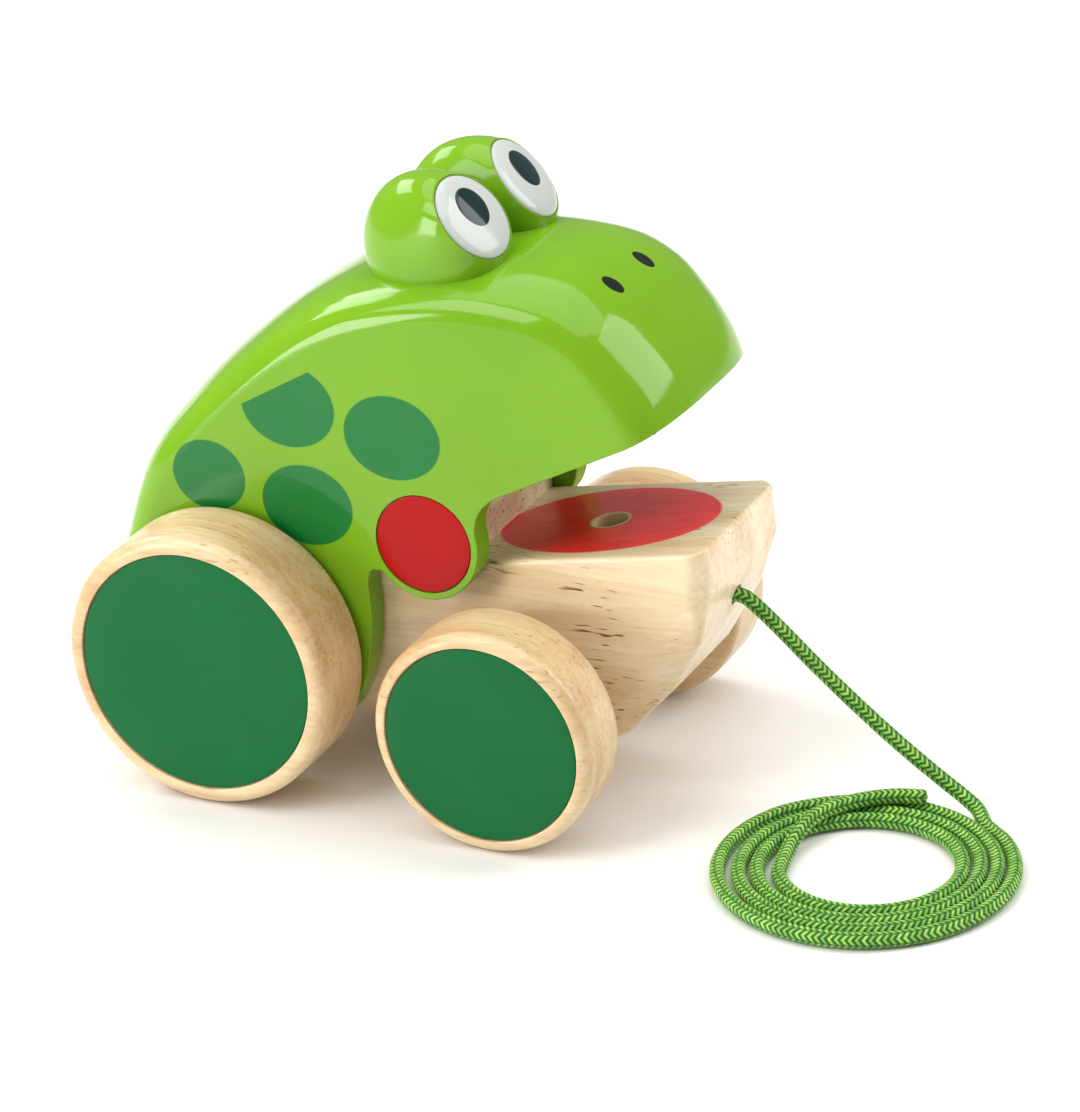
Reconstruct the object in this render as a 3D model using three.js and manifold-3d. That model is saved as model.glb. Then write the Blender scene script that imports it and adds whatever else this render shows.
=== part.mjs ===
// Wooden pull-along frog: a tilted jaw block on four wheels, with a green head
// that swings on a rod at the cheeks and is lifted by a cam on the rear axle.
// Millimetres. +X is forward, +Y is the frog's left, +Z is up, and the wheels stand on z = 0.

import * as THREE from 'three';
import { ConvexGeometry } from 'three/addons/geometries/ConvexGeometry.js';
import { mergeVertices } from 'three/addons/utils/BufferGeometryUtils.js';
import Module from 'manifold-3d';

const wasm = await Module();
wasm.setup();

// ---------- driving dimensions ----------

const gap = 0.3;                  // between solids that touch
const wheelbase = 88.5;
const rearWheelRadius = 41;
const rearWheelWidth = 24.6;
const frontWheelRadius = 33;
const frontWheelWidth = 20.2;
const wheelEdgeRadius = 3.4;      // rounding of a wheel's outer rim
const discInset = 5;              // wood left around a wheel's green face disc
const discThickness = 1.2;
const axleRadius = 3;
const axleInWheel = 16;           // how deep an axle's end sits in its wheel
const bushWall = 1.8;
const bushLength = 12;
const spacerRadius = 8;

const headHalfWidth = 36.5;
const headWall = 7.7;
const headInner = headHalfWidth - headWall;
const sideClearance = 0.8;        // between the body's sides and the head's inner faces
const wheelClearance = 1.6;       // between the head's outer faces and the rear wheels
const bodyHalfWidth = headInner - sideClearance;
const trackHalf = headHalfWidth + wheelClearance + rearWheelWidth;   // to a wheel's outer face
const bodyRear = -70;
const bodyFront = 97;             // front face of the jaw at its top edge
const jawNose = 0.8;              // how far the front face leans out below that edge
const bodyUnder = 13;
const bodySideDepth = 18;         // upright part of the body's sides, below the top face
const bodyUnderHalf = 16;         // half width of the underside
const cornerCut = 4;              // flats across the jaw's upright front corners
const chinDepth = 14;             // upright part of the jaw's front face
const chinSteps = [                // [back from the front, half width, height] below that face
  [3.5, 22, 54], [12, 18, 38], [30, 15, 18],
];
const underFront = 40;            // front of the flat underside, back from the jaw's front
const jawSlope = 0.17;            // rise of the jaw's top face per mm forward
const jawHeight = 66.5;           // height of that face's plane at x = 0

const lipSlope = 0.497;           // rise of the upper lip per mm forward, mouth open
const pivotX = 17.2;              // hinge rod, at the middle of the cheeks
const pivotZ = 78.4;
const lobeRadius = 16.7;
const lipRoot = [15.5, 13.1];     // where the lip leaves the cheek, ahead of and above the rod
const cheekRadius = 14.4;
const cheekThickness = 1.2;
const hingeRodRadius = 3;
const knuckleRadius = 9;
const tailReach = 88;             // wheelbase middle to the back of the tail
const tailBottom = rearWheelRadius + 16;
const haunchClearance = 3;
const haunchFront = -0.4;

const camRadius = 16;
const camThrow = 8;
const liftClearance = 0.8;        // lift block above the highest point that the cam reaches
const camWidth = 10;
const camSlotHalf = 7.5;
const rearSpacerSeat = 21;        // middle of the body to the flats that the spacers run on
const frontSpacerSeat = 19;

const tongueX = 57.5;             // middle of the painted tongue and of the knot hole
const knotHoleRadius = 5;
const cordDiameter = 4.4;
const cordBoreRadius = cordDiameter / 2 + 0.7;
const cordExitZ = 59;

const eyeX = 15.5;
const eyeY = 14.6;
const eyeZ = 158;
const eyeUp = 0.69;               // how far the gaze points up and out, in radians
const eyeOut = 0.14;
const eyeRadius = 22;             // the pod, seen from the side
const eyeHalfWidth = 14.2;
const eyeWhiteFront = 16.5;       // middle of the pod to the rim around the white
const eyeWhiteSize = [12.4, 11.9];   // half width and half height of the white
const eyeRimWall = 0.7;
const eyeWhiteBulge = 2.4;
const pupilSize = [5.6, 6.5];
const pupilRise = 1.7;

const coilX = 147.2;
const coilY = -38.7;
const coilInner = 20.4;
const coilOuter = 42.6;

const rearAxleX = -wheelbase / 2;
const frontAxleX = wheelbase / 2;
const rodReach = headInner + headWall * 0.55;

const colours = {
  beech: [0xe8cfa6, 0.55, 0],
  wheelWood: [0xe6c6a0, 0.5, 0],
  lime: [0x7fbe3a, 0.2, 0],
  green: [0x1f8450, 0.3, 0],
  red: [0xc8282c, 0.3, 0],
  white: [0xf2f4f2, 0.25, 0],
  black: [0x14282c, 0.15, 0],
  steel: [0xb8bcc0, 0.3, 1],
  nylon: [0xf0ece0, 0.4, 0],
  cord: [0x6cc43c, 0.8, 0],
};

// ---------- solids ----------

function solidOf(geometry, matrix) {
  const bare = geometry.index ? geometry.toNonIndexed() : geometry.clone();
  bare.deleteAttribute('normal');
  bare.deleteAttribute('uv');
  if (matrix) bare.applyMatrix4(matrix);
  const merged = mergeVertices(bare, 1e-4);
  return new wasm.Manifold(new wasm.Mesh({
    numProp: 3,
    vertProperties: new Float32Array(merged.attributes.position.array),
    triVerts: new Uint32Array(merged.index.array),
  }));
}

function geometryOf(solid) {
  const mesh = solid.getMesh();
  const geometry = new THREE.BufferGeometry();
  geometry.setAttribute('position', new THREE.BufferAttribute(mesh.vertProperties, 3));
  geometry.setIndex(new THREE.BufferAttribute(mesh.triVerts, 1));
  geometry.computeVertexNormals();
  return geometry;
}

function place(x, y, z) {
  return new THREE.Matrix4().makeTranslation(x, y, z);
}

// A round bar along Y, from y0 to y1.
function bar(radius, x, z, y0, y1, sides = 32) {
  const shape = new THREE.CylinderGeometry(radius, radius, y1 - y0, sides);
  return solidOf(shape, place(x, (y0 + y1) / 2, z));
}

// A block between two corners.
function block(x0, x1, y0, y1, z0, z1) {
  const shape = new THREE.BoxGeometry(x1 - x0, y1 - y0, z1 - z0);
  return solidOf(shape, place((x0 + x1) / 2, (y0 + y1) / 2, (z0 + z1) / 2));
}

// A plate whose outline is drawn in X and Z, between two values of y.
function plate(outline, y0, y1) {
  const shape = new THREE.ExtrudeGeometry(outline, {
    depth: y1 - y0, bevelEnabled: false, curveSegments: 24,
  });
  const upright = new THREE.Matrix4().makeRotationX(Math.PI / 2);
  return solidOf(shape, place(0, y1, 0).multiply(upright));
}

// A turned piece on an axis along Y; the profile is [radius, y] on the axis at both ends.
function turned(profile, x, z, side, sides = 48) {
  const points = profile.map(([radius, y]) => new THREE.Vector2(radius, y));
  const shape = new THREE.LatheGeometry(points, sides);
  const turn = side > 0 ? new THREE.Matrix4() : new THREE.Matrix4().makeRotationX(Math.PI);
  return solidOf(shape, place(x, 0, z).multiply(turn));
}

function arcPoints(radius, cx, cy, from, to, count) {
  return Array.from({ length: count + 1 }, (unused, i) => {
    const a = THREE.MathUtils.degToRad(from + (to - from) * i / count);
    return [cx + radius * Math.cos(a), cy + radius * Math.sin(a)];
  });
}

const frog = new THREE.Group();

function add(name, solid, finish) {
  const [color, roughness, metalness] = colours[finish];
  const material = new THREE.MeshStandardMaterial({ color, roughness, metalness });
  const mesh = new THREE.Mesh(geometryOf(solid), material);
  mesh.name = name;
  frog.add(mesh);
}

const sides = [['left', 1], ['right', -1]];

// Where each axle runs, its wheels' sizes, and the flat that its spacers run against.
const rear = {
  name: 'rear', x: rearAxleX, z: rearWheelRadius, width: rearWheelWidth, seat: rearSpacerSeat,
};
const front = {
  name: 'front', x: frontAxleX, z: frontWheelRadius, width: frontWheelWidth, seat: frontSpacerSeat,
};

// ---------- jaw body ----------

function jawTop(x) {
  return jawHeight + jawSlope * x;
}

// Corner points of the faceted block. The front is cut back at its corners and under the chin.
function bodyBlock() {
  const corners = [];
  for (const side of [1, -1]) {
    const shoulder = side * bodyHalfWidth;
    const corner = shoulder - side * cornerCut;
    const chinZ = jawTop(bodyFront) - chinDepth;
    corners.push([bodyRear, shoulder, jawTop(bodyRear)]);
    corners.push([bodyFront - cornerCut, shoulder, jawTop(bodyFront - cornerCut)]);
    corners.push([bodyFront, corner, jawTop(bodyFront)]);
    corners.push([bodyRear, shoulder, jawTop(bodyRear) - bodySideDepth]);
    corners.push([bodyFront - cornerCut, shoulder, chinZ]);
    corners.push([bodyFront + jawNose, corner, chinZ]);
    for (const [back, half, z] of chinSteps) corners.push([bodyFront - back, side * half, z]);
    corners.push([bodyFront - underFront, side * bodyUnderHalf, bodyUnder]);
    corners.push([bodyRear, side * bodyUnderHalf, bodyUnder]);
  }
  return solidOf(new ConvexGeometry(corners.map((p) => new THREE.Vector3(...p))));
}

function jawBody() {
  const knuckle = bar(knuckleRadius, pivotX, pivotZ, -bodyHalfWidth, bodyHalfWidth)
    .add(block(pivotX - knuckleRadius, pivotX + knuckleRadius, -bodyHalfWidth, bodyHalfWidth,
      jawTop(pivotX) - bodySideDepth / 2, pivotZ));
  let body = bodyBlock().add(knuckle);
  const reach = trackHalf + 1;
  for (const { x, z, seat } of [rear, front]) {
    body = body.subtract(bar(axleRadius + bushWall + 2 * gap, x, z, -reach, reach));
    for (const side of [1, -1]) {
      const flat = [side * seat, side * reach].sort((a, b) => a - b);
      body = body.subtract(bar(spacerRadius + 1.5, x, z, ...flat));
    }
  }
  body = body.subtract(bar(hingeRodRadius + gap, pivotX, pivotZ, -reach, reach));
  const slotFront = rearAxleX + camRadius + camThrow + 3;
  body = body.subtract(block(bodyRear - 1, slotFront, -camSlotHalf, camSlotHalf, 0, 90));
  const holeLow = cordExitZ - 8;
  const hole = new THREE.CylinderGeometry(knotHoleRadius, knotHoleRadius, 60, 24);
  body = body.subtract(solidOf(hole.rotateX(Math.PI / 2), place(tongueX, 0, holeLow + 30)));
  const boreLength = 60;
  const bore = new THREE.CylinderGeometry(cordBoreRadius, cordBoreRadius, boreLength, 16);
  bore.rotateZ(Math.PI / 2);
  return body.subtract(solidOf(bore, place(tongueX + boreLength / 2, 0, cordExitZ)));
}

add('jaw_body', jawBody(), 'beech');

// ---------- head ----------

// Middle line of the crown, from the tail over the top to the nose, mouth open.
const crownLine = new THREE.SplineCurve([
  [-tailReach, 58], [-76.5, 89.5], [-60.5, 110], [-43.5, 126.5], [-23.5, 141.5], [-1, 151.5], [27, 157],
  [54, 156], [69.5, 149.5], [79, 140], [86, 130], [90.3, 119.5], [92, 108],
].map(([x, z]) => new THREE.Vector2(x, z)));
const crownCamber = 7.5;          // how far the crown's edges fall from its middle line
const crownPower = 3.2;

// The head's outer form as one convex body, grown by a clearance where it cuts a neighbour.
function headForm(grow) {
  const points = [];
  const half = headHalfWidth + grow;
  const steps = 30;
  const rows = 9;
  for (let i = 0; i <= steps; i += 1) {
    const at = crownLine.getPointAt(i / steps);
    const along = crownLine.getTangentAt(i / steps);
    for (let j = -rows; j <= rows; j += 1) {
      const share = Math.sin(j / rows * Math.PI / 2);
      const fall = crownCamber * Math.abs(share) ** crownPower - grow;
      points.push(new THREE.Vector3(at.x + along.y * fall, share * half, at.y - along.x * fall));
    }
  }
  for (const side of [half, -half]) {
    points.push(new THREE.Vector3(-70, side, 0));
    points.push(new THREE.Vector3(60, side, 0));
  }
  return solidOf(new ConvexGeometry(points));
}

// What is kept of that form: the lip, the cheek, and the haunch, whose lower edge follows an
// arc about the hinge so that it clears the rear axle as the mouth shuts.
function headTrim() {
  const [startX, startZ] = [pivotX + lipRoot[0], pivotZ + lipRoot[1]];
  const outline = new THREE.Shape();
  outline.moveTo(startX, startZ);
  outline.lineTo(startX + 80, startZ + 80 * lipSlope);
  outline.lineTo(120, 200);
  outline.lineTo(-120, 200);
  outline.lineTo(-120, tailBottom);
  const haunch = Math.hypot(rearAxleX - pivotX, rear.z - pivotZ) - spacerRadius - haunchClearance;
  const from = Math.PI + Math.asin((pivotZ - tailBottom) / haunch);
  outline.absarc(pivotX, pivotZ, haunch, from, Math.PI * 1.36, false);
  outline.quadraticCurveTo(haunchFront - 0.8, 34, haunchFront, 54);
  outline.lineTo(haunchFront - 0.6, 68);
  outline.absarc(pivotX, pivotZ, lobeRadius, Math.PI * 1.2, Math.PI * 2.17, false);
  return outline;
}

function headInside(clear) {
  const points = [];
  const steps = 24;
  for (let i = 0; i <= steps; i += 1) {
    const at = crownLine.getPointAt(i / steps);
    const along = crownLine.getTangentAt(i / steps);
    const fall = crownCamber + headWall * 0.8 + clear;
    points.push(new THREE.Vector2(at.x + along.y * fall, at.y - along.x * fall));
  }
  points.push(new THREE.Vector2(60, -10));
  points.push(new THREE.Vector2(-70, -10));
  return plate(new THREE.Shape(points), -headInner + clear, headInner - clear);
}

function headShell() {
  let shell = headForm(0).intersect(plate(headTrim(), -headHalfWidth - 1, headHalfWidth + 1));
  shell = shell.subtract(headInside(0));
  for (const side of [1, -1]) {
    const recess = [side * (headHalfWidth - cheekThickness - gap), side * (headHalfWidth + 1)];
    shell = shell.subtract(bar(cheekRadius + gap, pivotX, pivotZ, ...recess.sort((a, b) => a - b)));
  }
  return shell.subtract(bar(hingeRodRadius + gap, pivotX, pivotZ, -rodReach - gap, rodReach + gap));
}

add('head_shell', headShell(), 'lime');
add('hinge_rod', bar(hingeRodRadius, pivotX, pivotZ, -rodReach, rodReach, 16), 'steel');

for (const [hand, side] of sides) {
  const face = side * headHalfWidth;
  const span = [face - side * cheekThickness, face].sort((a, b) => a - b);
  add(`cheek_disc_${hand}`, bar(cheekRadius, pivotX, pivotZ, ...span), 'red');
}

// The rib inside the crown that the cam pushes up. It ends clear of the cam's full sweep.
function liftBlock() {
  const low = rear.z + camRadius + camThrow + liftClearance;
  const rib = block(rearAxleX - 9, rearAxleX + 9, -camSlotHalf + 1.5, camSlotHalf - 1.5, low, 150);
  return rib.intersect(headInside(gap));
}

add('lift_block', liftBlock(), 'beech');

// ---------- eyes ----------

// A convex body through oval sections [depth, half width, half height] along the eye's gaze.
function gazeBody(side, sections, rise = 0) {
  const points = [];
  for (const [depth, halfWidth, halfHeight] of sections) {
    for (let i = 0; i < 24; i += 1) {
      const a = i / 24 * Math.PI * 2;
      points.push(new THREE.Vector3(depth, halfWidth * Math.cos(a), rise + halfHeight * Math.sin(a)));
    }
  }
  const turn = new THREE.Euler(0, -eyeUp, side * eyeOut, 'ZYX');
  const matrix = place(eyeX, side * eyeY, eyeZ).multiply(new THREE.Matrix4().makeRotationFromEuler(turn));
  return solidOf(new ConvexGeometry(points), matrix);
}

// The pod is round behind and narrows to the rim around the white.
function podSections() {
  const rows = 8;
  const [wide, high] = eyeWhiteSize;
  const rim = Math.acos((high + eyeRimWall) / eyeRadius);
  const frontDepth = eyeWhiteFront / Math.sin(rim);
  const widen = wide + eyeRimWall - eyeHalfWidth * Math.cos(rim);
  const sections = [];
  for (let i = 0; i <= rows; i += 1) {
    const a = -Math.PI / 2 + (rim + Math.PI / 2) * i / rows;
    const size = Math.max(Math.cos(a), 0.02);
    const forward = Math.max(Math.sin(a), 0) / Math.sin(rim);
    const depth = Math.sin(a) * (a > 0 ? frontDepth : eyeRadius);
    sections.push([depth, eyeHalfWidth * size + widen * forward ** 2, eyeRadius * size]);
  }
  return sections;
}

function domeSections(halfWidth, halfHeight) {
  const back = eyeWhiteFront - 2;
  const sections = [[back, halfWidth, halfHeight]];
  for (let i = 0; i <= 3; i += 1) {
    const a = i / 3 * Math.PI / 2;
    const size = Math.max(Math.cos(a), 0.05);
    sections.push([eyeWhiteFront + 0.4 + eyeWhiteBulge * Math.sin(a), halfWidth * size, halfHeight * size]);
  }
  return sections;
}

for (const [hand, side] of sides) {
  const [wide, high] = eyeWhiteSize;
  const back = eyeWhiteFront - 2 - gap;
  const socket = gazeBody(side, [[back, wide + gap, high + gap], [40, wide + gap, high + gap]]);
  const pod = gazeBody(side, podSections()).subtract(headForm(gap)).subtract(socket);
  add(`eye_pod_${hand}`, pod, 'lime');
  const dome = gazeBody(side, domeSections(wide, high)).subtract(headForm(gap));
  const [pupilWide, pupilHigh] = pupilSize;
  const behind = eyeWhiteFront - 0.6;
  const pad = [[behind, pupilWide, pupilHigh], [40, pupilWide, pupilHigh]];
  const hollow = pad.map(([depth, w, h]) => [depth === behind ? depth - gap : depth, w + gap, h + gap]);
  add(`eye_white_${hand}`, dome.subtract(gazeBody(side, hollow, pupilRise)), 'white');
  add(`pupil_${hand}`, dome.intersect(gazeBody(side, pad, pupilRise)), 'black');
}

// ---------- wheels and axles ----------

// A wheel with a rounded outer rim, a recess for its face disc and a blind bore for the axle.
function wheel(axle, side) {
  const radius = axle.z;
  const outer = trackHalf;
  const inner = trackHalf - axle.width;
  const rimInner = wheelEdgeRadius / 2;
  const recess = radius - discInset;
  const bore = axleRadius + gap;
  const profile = [
    [0, inner + axleInWheel + gap], [bore, inner + axleInWheel + gap], [bore, inner],
    [radius - rimInner, inner],
    ...arcPoints(rimInner, radius - rimInner, inner + rimInner, -30, 0, 1),
    ...arcPoints(wheelEdgeRadius, radius - wheelEdgeRadius, outer - wheelEdgeRadius, 0, 90, 3),
    [recess, outer], [recess, outer - discThickness - gap], [0, outer - discThickness - gap],
  ];
  return turned(profile, axle.x, axle.z, side);
}

for (const axle of [rear, front]) {
  const inner = trackHalf - axle.width;
  const reach = inner + axleInWheel;
  add(`${axle.name}_axle`, bar(axleRadius, axle.x, axle.z, -reach, reach, 16), 'steel');
  for (const [hand, side] of sides) {
    const along = (a, b) => [side * a, side * b].sort((p, q) => p - q);
    add(`${axle.name}_wheel_${hand}`, wheel(axle, side), 'wheelWood');
    const span = along(trackHalf - discThickness, trackHalf);
    const disc = bar(axle.z - discInset - gap, axle.x, axle.z, ...span, 48);
    add(`${axle.name}_wheel_face_${hand}`, disc, 'green');
    const sleeve = (outerRadius, a, b) => bar(outerRadius, axle.x, axle.z, ...along(a, b), 24)
      .subtract(bar(axleRadius + gap, axle.x, axle.z, ...along(a - 1, b + 1), 16));
    add(`${axle.name}_spacer_${hand}`, sleeve(spacerRadius, axle.seat + gap, inner - gap), 'wheelWood');
    const bush = sleeve(axleRadius + gap + bushWall, axle.seat - bushLength, axle.seat);
    add(`${axle.name}_bush_${hand}`, bush, 'nylon');
  }
}

// The cam's high side points down, so the tail is down and the mouth open.
const cam = bar(camRadius, rearAxleX, rear.z - camThrow, -camWidth / 2, camWidth / 2, 40)
  .subtract(bar(axleRadius + gap, rearAxleX, rear.z, -camWidth, camWidth, 16));
add('mouth_cam', cam, 'beech');

// ---------- pull cord ----------

const cordRadius = cordDiameter / 2;
const knotRadius = knotHoleRadius - 0.6;

const knot = new THREE.SphereGeometry(knotRadius, 14, 10);
add('cord_knot', solidOf(knot, place(tongueX, 0, cordExitZ)), 'cord');

// The run from the bore down to the outside of the coil.
const groundZ = cordRadius + 0.2;
const leadPoints = [
  [tongueX + knotRadius + gap, 0, cordExitZ], [75, 0, cordExitZ], [88, 0, cordExitZ],
  [96.5, 0, 58.9], [101.5, 0, 55.9], [109, 0.1, 49.3], [118.5, 0.4, 40.3], [129, 0.9, 30.8],
  [139, 1.7, 22], [147.5, 2.8, 14.8], [154.5, 3.9, 9.4], [160, 4.4, 6], [165, 4.1, 3.6],
  [170.5, 2.2, groundZ],
].map((p) => new THREE.Vector3(...p));

function cordSection() {
  const section = new THREE.Shape();
  section.absarc(0, 0, cordRadius, 0, Math.PI * 2, false);
  return section;
}

const leadShape = new THREE.ExtrudeGeometry(cordSection(), {
  steps: 14, curveSegments: 5, bevelEnabled: false, extrudePath: new THREE.CatmullRomCurve3(leadPoints),
});
add('cord_lead', solidOf(leadShape), 'cord');

const coilTop = cordDiameter * 2;
const coilWall = [
  [coilInner, 0.05], [coilOuter, 0.05], [coilOuter, cordDiameter],
  [coilOuter - cordDiameter, coilTop], [coilInner + cordDiameter, coilTop], [coilInner, cordDiameter],
  [coilInner, 0.05],
];
const ring = new THREE.LatheGeometry(coilWall.map((p) => new THREE.Vector2(...p)), 36);
add('cord_coil', solidOf(ring.rotateX(Math.PI / 2), place(coilX, coilY, 0)), 'cord');

// The origin is under the middle of the toy, between its tail and the front of its jaw.
frog.position.x = -(bodyFront + jawNose - tailReach) / 2;
frog.updateMatrixWorld(true);

export default frog;
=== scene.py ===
# Wooden pull-along frog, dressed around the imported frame.
# Metres, +X forward, +Y the frog's left, +Z up, wheels standing on z = 0.

import math

import bpy
from mathutils import Euler, Matrix, Vector


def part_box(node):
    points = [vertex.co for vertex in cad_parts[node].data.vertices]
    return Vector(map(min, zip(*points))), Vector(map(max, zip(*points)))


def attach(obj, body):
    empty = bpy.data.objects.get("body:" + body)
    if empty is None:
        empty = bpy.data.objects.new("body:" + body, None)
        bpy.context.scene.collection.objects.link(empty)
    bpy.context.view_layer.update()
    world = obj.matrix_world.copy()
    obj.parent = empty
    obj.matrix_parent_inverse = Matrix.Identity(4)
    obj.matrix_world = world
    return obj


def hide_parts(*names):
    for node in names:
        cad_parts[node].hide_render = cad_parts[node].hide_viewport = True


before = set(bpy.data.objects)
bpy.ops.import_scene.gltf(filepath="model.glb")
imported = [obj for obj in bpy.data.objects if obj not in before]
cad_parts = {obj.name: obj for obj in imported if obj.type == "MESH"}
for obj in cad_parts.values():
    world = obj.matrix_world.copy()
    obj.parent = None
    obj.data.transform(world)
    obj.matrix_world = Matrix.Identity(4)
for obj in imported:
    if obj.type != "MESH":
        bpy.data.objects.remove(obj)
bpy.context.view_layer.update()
mm = 0.001

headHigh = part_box("head_shell")[1]
jawLow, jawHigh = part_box("jaw_body")
rodLow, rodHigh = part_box("hinge_rod")
knotLow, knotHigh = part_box("cord_knot")
coilLow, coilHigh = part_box("cord_coil")
pivot = (rodLow + rodHigh) / 2
knotHole = (knotLow + knotHigh) / 2
coilMiddle = (coilLow + coilHigh) / 2


cameraSet = {
    "azimuth": 26.41,
    "elevation": 24.2,
    "roll": -3.13,
    "distance": 1.2718,
    "target": (0.02995, 0, 0.06185),
    "lens": 145.7,
}


def makeCamera():
    turn = math.radians(cameraSet["azimuth"])
    rise = math.radians(cameraSet["elevation"])
    back = Vector((math.sin(turn) * math.cos(rise), -math.cos(turn) * math.cos(rise), math.sin(rise)))
    place = Vector(cameraSet["target"]) + back * cameraSet["distance"]
    bpy.ops.object.camera_add(location=place)
    camera = bpy.context.active_object
    camera.name = "camera"
    facing = Euler((math.pi / 2 - rise, 0, turn)).to_matrix()
    camera.rotation_euler = (facing @ Matrix.Rotation(math.radians(cameraSet["roll"]), 3, "Z")).to_euler()
    camera.data.lens = cameraSet["lens"]
    camera.data.sensor_width = 36
    camera.data.clip_start = 0.05
    bpy.context.scene.camera = camera


def deselect():
    if bpy.context.mode != "OBJECT":
        bpy.ops.object.mode_set(mode="OBJECT")
    bpy.ops.object.select_all(action="DESELECT")


def pick(piece):
    deselect()
    piece.select_set(True)
    bpy.context.view_layer.objects.active = piece


def started(name):  # the primitive just added, with its place moved into its mesh
    piece = bpy.context.active_object
    piece.name = name
    piece.data.name = name
    bpy.ops.object.transform_apply(location=True, rotation=True, scale=True)
    return piece


def choose(piece, kind, test):  # opens edit mode with what passes the test selected
    pick(piece)
    bpy.ops.object.mode_set(mode="EDIT")
    bpy.ops.mesh.select_mode(type=kind)
    bpy.ops.mesh.select_all(action="DESELECT")
    bpy.ops.object.mode_set(mode="OBJECT")
    parts = {"FACE": piece.data.polygons, "EDGE": piece.data.edges, "VERT": piece.data.vertices}[kind]
    for part in parts:
        part.select = bool(test(part))
    bpy.ops.object.mode_set(mode="EDIT")


def edgeEnds(piece, edge):
    return [piece.data.vertices[i].co for i in edge.vertices]


def modify(piece, kind, **settings):
    pick(piece)
    bpy.ops.object.modifier_add(type=kind)
    modifier = piece.modifiers[-1]
    for name, value in settings.items():
        setattr(modifier, name, value)
    bpy.ops.object.modifier_apply(modifier=modifier.name)


def cutWith(piece, tool, operation="DIFFERENCE"):
    modify(piece, "BOOLEAN", object=tool, operation=operation, solver="EXACT")
    bpy.data.objects.remove(tool)


def bar(name, radius, y0, y1, x, z, sides=64):  # a round bar along Y
    deselect()
    bpy.ops.mesh.primitive_cylinder_add(
        vertices=sides, radius=radius, depth=abs(y1 - y0), location=(x, (y0 + y1) / 2, z),
        rotation=(math.pi / 2, 0, 0))
    return started(name)


def block(name, low, high):
    deselect()
    middle = [(a + b) / 2 for a, b in zip(low, high)]
    bpy.ops.mesh.primitive_cube_add(size=1, location=middle, scale=[b - a for a, b in zip(low, high)])
    return started(name)


def smooth(piece, angle=35):
    pick(piece)
    bpy.ops.object.shade_smooth_by_angle(angle=math.radians(angle))
    modify(piece, "WEIGHTED_NORMAL", keep_sharp=True)


def outward(piece):
    choose(piece, "FACE", lambda face: True)
    bpy.ops.mesh.remove_doubles(threshold=0.00001)
    bpy.ops.mesh.normals_make_consistent(inside=False)
    deselect()


def finishPiece(piece, body, slot, material, *nodes):
    piece.data.materials.clear()
    piece.data.materials.append(material)
    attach(piece, body)
    if nodes:
        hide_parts(*nodes)


def splinePoint(points, share):  # a smooth line through the points
    span = share * (len(points) - 1)
    i = min(int(span), len(points) - 2)
    t = span - i
    a, b = points[max(i - 1, 0)], points[i]
    c, d = points[i + 1], points[min(i + 2, len(points) - 1)]
    v0, v1 = (c - a) / 2, (d - b) / 2
    return (2 * b - 2 * c + v0 + v1) * t ** 3 + (3 * c - 3 * b - 2 * v0 - v1) * t ** 2 + v0 * t + b


def addNode(tree, kind, inputs=None, **settings):
    node = tree.nodes.new(kind)
    for name, value in settings.items():
        setattr(node, name, value)
    for name, value in (inputs or {}).items():
        if isinstance(value, bpy.types.NodeSocket):
            tree.links.new(value, node.inputs[name])
        else:
            node.inputs[name].default_value = value
    return node


def calc(tree, operation, a, b=0.0, clamp=False):
    return addNode(tree, "ShaderNodeMath", {0: a, 1: b}, operation=operation, use_clamp=clamp).outputs[0]


def vectorCalc(tree, operation, a, b):
    return addNode(tree, "ShaderNodeVectorMath", {0: a, 1: b}, operation=operation).outputs[0]


def remap(tree, value, low, high, newLow=0.0, newHigh=1.0):
    return addNode(tree, "ShaderNodeMapRange", {
        "Value": value, "From Min": low, "From Max": high, "To Min": newLow, "To Max": newHigh,
    }).outputs["Result"]


def blendColours(tree, share, first, second, kind="MIX"):
    node = addNode(tree, "ShaderNodeMix", data_type="RGBA", blend_type=kind)
    for socket, value in ((node.inputs[0], share), (node.inputs[6], first), (node.inputs[7], second)):
        if isinstance(value, bpy.types.NodeSocket):
            tree.links.new(value, socket)
        else:
            socket.default_value = value
    return node.outputs[2]


def noise(tree, vector, scale, detail=3.0, roughness=0.5):
    return addNode(tree, "ShaderNodeTexNoise", {
        "Vector": vector, "Scale": scale, "Detail": detail, "Roughness": roughness,
    }).outputs["Fac"]


def stretched(tree, vector, scale):
    return addNode(tree, "ShaderNodeMapping", {"Vector": vector, "Scale": scale}).outputs["Vector"]


def newGroup(name, takes, gives):
    group = bpy.data.node_groups.new(name, "ShaderNodeTree")
    for label, kind, value in takes:
        socket = group.interface.new_socket(label, in_out="INPUT", socket_type=kind)
        if value is not None:
            socket.default_value = value
    for label, kind in gives:
        group.interface.new_socket(label, in_out="OUTPUT", socket_type=kind)
    return group, group.nodes.new("NodeGroupInput").outputs, group.nodes.new("NodeGroupOutput").inputs


def placeGroup(tree, group, inputs):
    node = tree.nodes.new("ShaderNodeGroup")
    node.node_tree = group
    for name, value in inputs.items():
        if isinstance(value, bpy.types.NodeSocket):
            tree.links.new(value, node.inputs[name])
        else:
            node.inputs[name].default_value = value
    return node.outputs


def newMaterial(name, **fixed):
    material = bpy.data.materials.new(name)
    material.use_nodes = True
    tree = material.node_tree
    shader = tree.nodes["Principled BSDF"]
    for label, value in fixed.items():
        shader.inputs[label.replace("_", " ")].default_value = value
    place = addNode(tree, "ShaderNodeTexCoord").outputs["Object"]
    return material, tree, shader, place


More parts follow.
